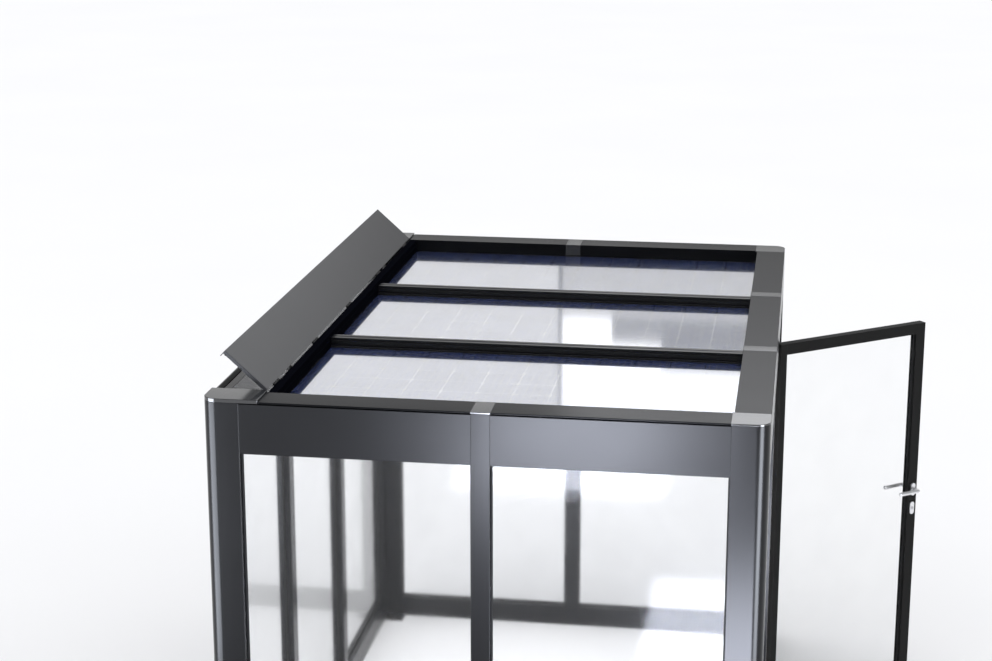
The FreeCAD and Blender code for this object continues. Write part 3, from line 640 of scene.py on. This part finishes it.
# ---- sub-assemblies ------------------------------------------------------------------------
@dataclass
class GroundFrame:
    """Posts, sills, fascias and base plates."""

    ease: float = 0.0015
    posts: Tuple[str, ...] = ("corner_post_front_left", "corner_post_front_right",
                              "corner_post_rear_left", "corner_post_rear_right",
                              "mid_posts", "lock_post", "hinge_post")
    runs: Tuple[str, ...] = ("sills", "fascias")
    drain_spread: float = 0.34
    drain_height: float = 0.026
    drain_size: Point = (0.042, 0.009, 0.0015)

    def build(self) -> None:
        """Builds and dresses the pieces."""
        for node in self.posts + self.runs:
            eased_copy(node, FRAME_COAT, self.ease)
        eased_copy("base_plates", STEEL, 0.001)
        self.fit_drain_caps()

    def fit_drain_caps(self) -> None:
        """Sets two drain caps on the outer face of every sill."""
        shape = Shape()
        for low, high in loose_parts("sills"):
            size, middle = high - low, (low + high) / 2
            along = 0 if size.x > size.y else 1
            across = 1 - along
            side = 1.0 if middle[across] > 0 else -1.0
            face = high[across] if side > 0 else low[across]
            for share in (-self.drain_spread, self.drain_spread):
                start = Vector((0.0, 0.0, self.drain_height))
                start[along] = middle[along] + share * size[along]
                start[across] = face
                half = Vector((0.0, 0.0, self.drain_size[1] / 2))
                half[along] = self.drain_size[0] / 2
                out = Vector((0.0, 0.0, 0.0))
                out[across] = side * self.drain_size[2]
                corner, other = start - half, start + half + out
                shape.block([min(a, b) for a, b in zip(corner, other)],
                            [max(a, b) for a, b in zip(corner, other)])
        shape.ease(0.0004, 2).piece("sill_drain_caps", Body.FRAME, PLASTIC)


@dataclass
class WallGlazing:
    """Fixed panes with their gaskets."""

    arris: float = 0.001

    def build(self) -> None:
        """Builds and dresses the pieces."""
        eased_copy("wall_glass", WALL_GLASS, self.arris, 1)
        eased_copy("wall_gaskets", RUBBER, 0.0015)


@dataclass
class RoofEdge:
    """Edge rails with the caps over the posts and corners."""

    ease: float = 0.0015

    def build(self) -> None:
        """Builds and dresses the pieces."""
        for side in ("front", "rear", "right"):
            eased_copy("roof_rail_" + side, ROOF_COAT, self.ease)
        eased_copy("corner_caps", CAP_METAL, 0.001)
        eased_copy("post_caps", CAP_METAL, 0.001)


@dataclass
class SolarRoof:
    """Rafters, laminates with their cells and ribbons, gaskets and junction boxes."""

    ease: float = 0.001
    bays: Tuple[str, ...] = ("front", "middle", "rear")
    pitch: float = 0.160
    columns: int = 12
    rows: int = 6
    bars: int = 5
    bar_width: float = 0.0016
    bar_thick: float = 0.00018
    end_run: float = 0.006
    end_ribbon: float = 0.007
    gland_nut: float = 0.0065
    gland_nut_length: float = 0.006
    gland_cap: float = 0.0055
    gland_cap_length: float = 0.008
    gland_share: float = 0.28
    lid_screw: float = 0.0032
    lid_screw_inset: float = 0.008

    def build(self) -> None:
        """Builds and dresses the pieces."""
        eased_copy("rafters", ROOF_COAT, self.ease)
        eased_copy("rafter_covers", COVER_COAT, self.ease)
        for bay in self.bays:
            eased_copy("solar_glass_" + bay, SOLAR_GLASS, 0.0006, 1)
        eased_copy("roof_gaskets", RUBBER, 0.0006)
        eased_copy("solar_cells", SILICON, 0.00005, 1)
        eased_copy("junction_boxes", PLASTIC, 0.002)
        self.solder()
        self.fit_glands()

    def fit_glands(self) -> None:
        """Fits two capped cable glands and four lid screws to every junction box."""
        glands, screws = Shape(), Shape()
        for low, high in loose_parts("junction_boxes"):
            middle, size = (low + high) / 2, high - low
            for side in (-1, 1):
                start = Vector((middle.x + side * size.x * self.gland_share, low.y + 0.001,
                                middle.z))
                neck = start - Vector((0.0, self.gland_nut_length, 0.0))
                tip = neck - Vector((0.0, self.gland_cap_length, 0.0))
                glands.rod(self.gland_nut, start, neck, 6)
                glands.rod(self.gland_cap, neck, tip, 24, 0.0042)
                for end in (-1, 1):
                    seat = Vector((middle.x + side * (size.x / 2 - self.lid_screw_inset),
                                   middle.y + end * (size.y / 2 - self.lid_screw_inset),
                                   low.z + 2 * SUNK))
                    screws.rod(self.lid_screw, seat, seat - Vector((0.0, 0.0, 0.0018)), 20, 0.0026)
        glands.ease(0.0004).piece("junction_box_glands", Body.FRAME, PLASTIC)
        screws.ease(0.0002).piece("junction_box_screws", Body.FRAME, STEEL)

    def solder(self) -> None:
        """Lays the tinned ribbons along every column of cells, joined at both ends."""
        low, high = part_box("solar_cells")
        reach = self.pitch * self.rows / 2 - self.end_run
        z0, z1 = high[2] + 0.00002, high[2] + self.bar_thick
        shape = Shape()
        for bay in self.bays:
            near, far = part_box("solar_glass_" + bay)
            middle = (near[1] + far[1]) / 2
            for column in range(self.columns):
                left = low[0] + column * self.pitch
                for bar in range(self.bars):
                    x = left + (bar + 0.5) * (self.pitch - 0.004) / self.bars
                    shape.block((x - self.bar_width / 2, middle - reach, z0),
                                (x + self.bar_width / 2, middle + reach, z1))
            for side in (-1, 1):
                y = middle + side * (reach + 0.004)
                shape.block((low[0] + 0.01, y - self.end_ribbon / 2, z0),
                            (high[0] - 0.01, y + self.end_ribbon / 2, z1))
        shape.piece("cell_ribbons", Body.FRAME, RIBBON)


@dataclass
class RoofVent:
    """Hinge beam, flap, hinges and seal."""

    ease: float = 0.001
    screw_shares: Tuple[float, ...] = (0.22, 0.55, 0.88)
    screw_head: float = 0.0032
    screw_top: float = 0.0024
    screw_rise: float = 0.0014

    def build(self) -> None:
        """Builds and dresses the pieces."""
        # The hinge beam takes the darker copy of the frame coat, which is painted shade.
        eased_copy("hinge_beam", BEAM_SHADED_COAT, self.ease)
        eased_copy("vent_flap", FLAP_COAT, 0.002)
        eased_copy("vent_flap_end_plates", END_COAT, self.ease)
        eased_copy("vent_seal", RUBBER, 0.003, 3)
        for node in ("vent_hinge_fixed_leaves", "vent_hinge_flap_leaves", "vent_hinge_pins"):
            eased_copy(node, BLACK_STEEL, 0.0006)
        self.fit_end_screws()

    def fit_end_screws(self) -> None:
        """Fits countersunk screws through the end plates of the open flap."""
        pin, axis = joint("vent_hinge")
        low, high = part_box("vent_flap")
        free = Vector((low.x, 0.0, high.z)) - Vector((pin.x, 0.0, pin.z))
        along = free.normalized()
        shape = Shape()
        for end in (-1, 1):
            plate = loose_parts("vent_flap_end_plates")[0 if end < 0 else -1]
            y = plate[0].y if end < 0 else plate[1].y
            for share in self.screw_shares:
                seat = Vector((pin.x, y, pin.z)) + along * free.length * share
                shape.rod(self.screw_head, seat - axis * end * SUNK,
                          seat + axis * end * self.screw_rise, 20, self.screw_top)
        shape.ease(0.0002).piece("flap_end_screws", Body.VENT, BLACK_STEEL)


@dataclass
class VentActuators:
    """The two rams that push the flap open."""

    radius: float = 0.013
    tail: float = 0.013
    head: float = 0.074
    collar: float = 0.0012
    tail_ring: float = 0.008

    def build(self) -> None:
        """Builds and dresses the pieces."""
        for end in ("front", "rear"):
            eased_copy("actuator_body_" + end, STEEL, 0.001)
            eased_copy("actuator_rod_" + end, STEEL, 0.0008)
        eased_copy("actuator_brackets", STEEL, 0.0006)
        eased_copy("flap_lugs", STEEL, 0.0006)
        self.fit_collars()

    def fit_collars(self) -> None:
        """Screws a wiper collar and a tail ring onto every actuator body."""
        for end, body in (("front", Body.ACTUATOR_FRONT), ("rear", Body.ACTUATOR_REAR)):
            foot = joint("actuator_pivot_" + end)[0]
            along = joint("ram_slide_" + end)[1]
            head, tail = foot + along * self.head, foot + along * self.tail
            shape = Shape()
            wide = self.radius + self.collar
            shape.rod(wide, tail, tail + along * self.tail_ring, 40)
            shape.rod(wide, head - along * 0.010, head - along * 0.001, 40)
            shape.ease(0.0005).piece("actuator_collars_" + end, body, PLASTIC)


@dataclass
class DoorSet:
    """Door frame, leaf and hinges."""

    ease: float = 0.0015
    finial: float = 0.0068
    finial_base: float = 0.0022
    finial_top: float = 0.0046
    ribs: int = 6
    rib_width: float = 0.003
    rib_height: float = 0.001
    rib_ends: float = 0.03
    rib_start: float = 0.022
    rib_pitch: float = 0.007

    def build(self) -> None:
        """Builds and dresses the pieces."""
        for node in ("door_jamb_hinge", "door_jamb_lock", "door_head_stop"):
            eased_copy(node, DOOR_COAT, 0.001)
        eased_copy("door_threshold", FRAME_COAT, 0.001)
        for node in ("door_stile_hinge", "door_stile_lock", "door_rails"):
            eased_copy(node, DOOR_COAT, self.ease)
        eased_copy("door_glass", DOOR_GLASS, 0.001, 1)
        eased_copy("door_gasket", RUBBER, 0.001)
        for node in ("door_hinge_frame_leaves", "door_hinge_door_leaves", "door_hinge_pins",
                     "hinge_screws"):
            eased_copy(node, STEEL, 0.0006)
        self.fit_pin_caps()
        self.fit_tread()

    def fit_pin_caps(self) -> None:
        """Caps both ends of every hinge pin with a turned finial."""
        up = Vector((0.0, 0.0, 1.0))
        shape = Shape()
        for low, high in loose_parts("door_hinge_pins"):
            middle = (low + high) / 2
            for end, z in ((-1, low.z), (1, high.z)):
                seat = Vector((middle.x, middle.y, z - end * 0.0018))
                base = seat + up * end * self.finial_base
                shape.rod(self.finial, seat, base, 32)
                shape.rod(self.finial * 0.86, base, seat + up * end * self.finial_top, 32,
                          self.finial * 0.4)
        shape.ease(0.0003, 2, 20.0).piece("door_hinge_finials", Body.FRAME, STEEL)

    def fit_tread(self) -> None:
        """Lays anti-slip ribs along the threshold."""
        low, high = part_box("door_threshold")
        shape = Shape()
        for rib in range(self.ribs):
            x = low.x + self.rib_start + rib * self.rib_pitch
            shape.block((x, low.y + self.rib_ends, high.z - SUNK),
                        (x + self.rib_width, high.y - self.rib_ends, high.z + self.rib_height))
        shape.ease(0.0003).piece("threshold_ribs", Body.FRAME, FRAME_COAT)


@dataclass
class LockSet:
    """Levers, roses, cylinder, case and bolts."""

    def build(self) -> None:
        """Builds and dresses the pieces."""
        for node in ("lever_outside", "lever_inside"):
            eased_copy(node, LEVER_STEEL, 0.0006)
        eased_copy("rose_plates", LEVER_STEEL, 0.0012)
        for node in ("handle_spindle", "lock_case", "latch_bolt", "dead_bolt", "key_cylinder",
                     "strike_plate"):
            eased_copy(node, STEEL, 0.0005)


# ---- studio --------------------------------------------------------------------------------
@dataclass(frozen=True)
class SoftBox:
    """A plain rectangular studio light.

    Its radiance is that of its face, and it lights matt surfaces only if it fills.
    """

    name: str
    place: Point
    aim: Point
    width: float
    height: float
    radiance: float
    tint: Colour = (1.0, 1.0, 1.0)
    fills: bool = False

    def facing(self) -> Matrix:
        """The turn that faces the light to its aim, with its width level."""
        way = (Vector(self.aim) - Vector(self.place)).normalized()
        if abs(way.z) > 0.99:
            return Matrix.Rotation(math.pi if way.z > 0 else 0.0, 4, "X")
        return way.to_track_quat("-Z", "Y").to_matrix().to_4x4()

    def hang(self) -> None:
        """Adds the light to the scene. It shows in reflections only, unless it fills."""
        data = bpy.data.lights.new(self.name, "AREA")
        data.shape = "RECTANGLE"
        data.size, data.size_y = self.width, self.height
        data.energy = self.radiance * 4.0 * self.width * self.height
        data.color = self.tint
        lamp = bpy.data.objects.new(self.name, data)
        bpy.context.scene.collection.objects.link(lamp)
        turn = self.facing()
        lamp.matrix_world = Matrix.Translation(self.place) @ turn
        lamp.visible_camera = False
        lamp.visible_transmission = False
        lamp.visible_diffuse = self.fills
        log.info("softbox %s hung", self.name)


@dataclass
class Studio:
    """Floor, sky, softboxes and camera."""

    eye: Point = (1.277, -9.554, 4.755)
    heading: float = 8.78
    dip: float = 14.63
    lens: float = 73.56
    sensor: float = 36.0
    floor_size: float = 160.0
    horizon: float = 0.3
    zenith: float = 1.27
    mirrored: float = 0.3
    haze: Tuple[float, float] = (0.14, 0.30)
    sky: Colour = (0.985, 0.99, 1.0)
    boxes: Tuple[SoftBox, ...] = field(default_factory=lambda: (
        SoftBox("rear_right", (3.25, 14.0, 9.4), (3.25, 0.0, 9.4), 9.6, 6.0, 1.4,
                (0.96, 0.97, 1.0)),
        SoftBox("rear_step", (-1.25, 14.0, 6.1), (-1.25, 0.0, 6.1), 0.6, 0.6, 1.4),
        SoftBox("rear_half_step", (-0.65, 14.0, 6.25), (-0.65, 0.0, 6.25), 0.6, 0.3, 1.4),
        SoftBox("rear_band", (-7.8, 14.0, 6.1), (-7.8, 0.0, 6.1), 12.4, 2.5, 0.58),
        SoftBox("rear_low", (3.3, 14.0, 5.3), (3.3, 0.0, 5.3), 9.7, 1.0, 0.4),
        SoftBox("front_floor_light", (-0.38, -9.6, 0.05), (-0.38, -9.6, 3.0), 1.5, 4.7, 37.0,
                (0.82, 0.86, 1.0)),
        SoftBox("near_floor_light", (1.25, -4.5, 0.05), (1.25, -4.5, 3.0), 1.6, 2.4, 31.0,
                (0.82, 0.86, 1.0)),
        SoftBox("right_strip", (3.0, -3.4, 0.95), (1.13, -1.7, 0.95), 1.3, 1.8, 19.0,
                (0.85, 0.9, 1.0)),
        SoftBox("left_strip", (-2.9, -3.2, 0.95), (-1.15, -1.71, 0.95), 2.2, 1.8, 12.0,
                (0.85, 0.9, 1.0)),
        SoftBox("room_light", (-0.05, 0.0, 2.1), (-0.05, 0.0, 0.0), 1.9, 3.0, 2.7, fills=True),
    ))

    def build(self) -> None:
        """Builds the whole studio."""
        self.lay_floor()
        self.light_sky()
        for box in self.boxes:
            box.hang()
        self.place_camera()

    def lay_floor(self) -> None:
        """Lays the pale floor, which is part of the stage."""
        mesh = bmesh.new()
        bmesh.ops.create_grid(mesh, x_segments=1, y_segments=1, size=self.floor_size / 2)
        data = bpy.data.meshes.new("floor")
        mesh.to_mesh(data)
        mesh.free()
        data.materials.append(FLOOR.material())
        floor = bpy.data.objects.new("floor", data)
        floor.location.z = -0.0005
        bpy.context.scene.collection.objects.link(floor)

    def light_sky(self) -> None:
        """Soft sky that is dimmer near the horizon and in reflections."""
        world = bpy.data.worlds.new("studio")
        bpy.context.scene.world = world
        world.use_nodes = True
        tree = world.node_tree
        back = tree.nodes["Background"]
        where = tree.nodes.new("ShaderNodeTexCoord")
        split = tree.nodes.new("ShaderNodeSeparateXYZ")
        rise = tree.nodes.new("ShaderNodeMapRange")
        rise.interpolation_type = "SMOOTHSTEP"
        rise.inputs["From Min"].default_value = self.haze[0]
        rise.inputs["From Max"].default_value = self.haze[1]
        rise.inputs["To Min"].default_value = self.horizon
        rise.inputs["To Max"].default_value = self.zenith
        path = tree.nodes.new("ShaderNodeLightPath")
        seen = tree.nodes.new("ShaderNodeMath")
        seen.operation = "MAXIMUM"
        tree.links.new(path.outputs["Is Camera Ray"], seen.inputs[0])
        tree.links.new(path.outputs["Is Transmission Ray"], seen.inputs[1])
        # The sky is plain to the camera and through glass. A Mix node's number sockets are
        # 0 for the factor and 2 and 3 for the two values.
        plain = tree.nodes.new("ShaderNodeMix")
        plain.inputs[3].default_value = 1.0
        tree.links.new(where.outputs["Generated"], split.inputs["Vector"])
        tree.links.new(split.outputs["Z"], rise.inputs["Value"])
        tree.links.new(seen.outputs["Value"], plain.inputs[0])
        dimmed = tree.nodes.new("ShaderNodeMapRange")
        dimmed.inputs["To Min"].default_value = 1.0
        dimmed.inputs["To Max"].default_value = self.mirrored
        share = tree.nodes.new("ShaderNodeMath")
        share.operation = "MULTIPLY"
        tree.links.new(path.outputs["Is Glossy Ray"], dimmed.inputs["Value"])
        tree.links.new(rise.outputs["Result"], share.inputs[0])
        tree.links.new(dimmed.outputs["Result"], share.inputs[1])
        tree.links.new(share.outputs["Value"], plain.inputs[2])
        tree.links.new(plain.outputs[0], back.inputs["Strength"])
        back.inputs["Color"].default_value = (*self.sky, 1.0)

    def place_camera(self) -> None:
        """Places the camera."""
        data = bpy.data.cameras.new("camera")
        data.lens, data.sensor_width = self.lens, self.sensor
        camera = bpy.data.objects.new("camera", data)
        camera.location = self.eye
        camera.rotation_euler = (math.radians(90.0 - self.dip), 0.0, math.radians(self.heading))
        bpy.context.scene.collection.objects.link(camera)
        bpy.context.scene.camera = camera


def main() -> None:
    """Builds every sub-assembly and the studio."""
    bpy.context.scene.view_settings.view_transform = "Standard"
    for part in (GroundFrame(), WallGlazing(), RoofEdge(), SolarRoof(), RoofVent(),
                 VentActuators(), DoorSet(), LockSet()):
        part.build()
        log.info("%s built", type(part).__name__)
    Studio().build()


if __name__ == "__main__":
    main()
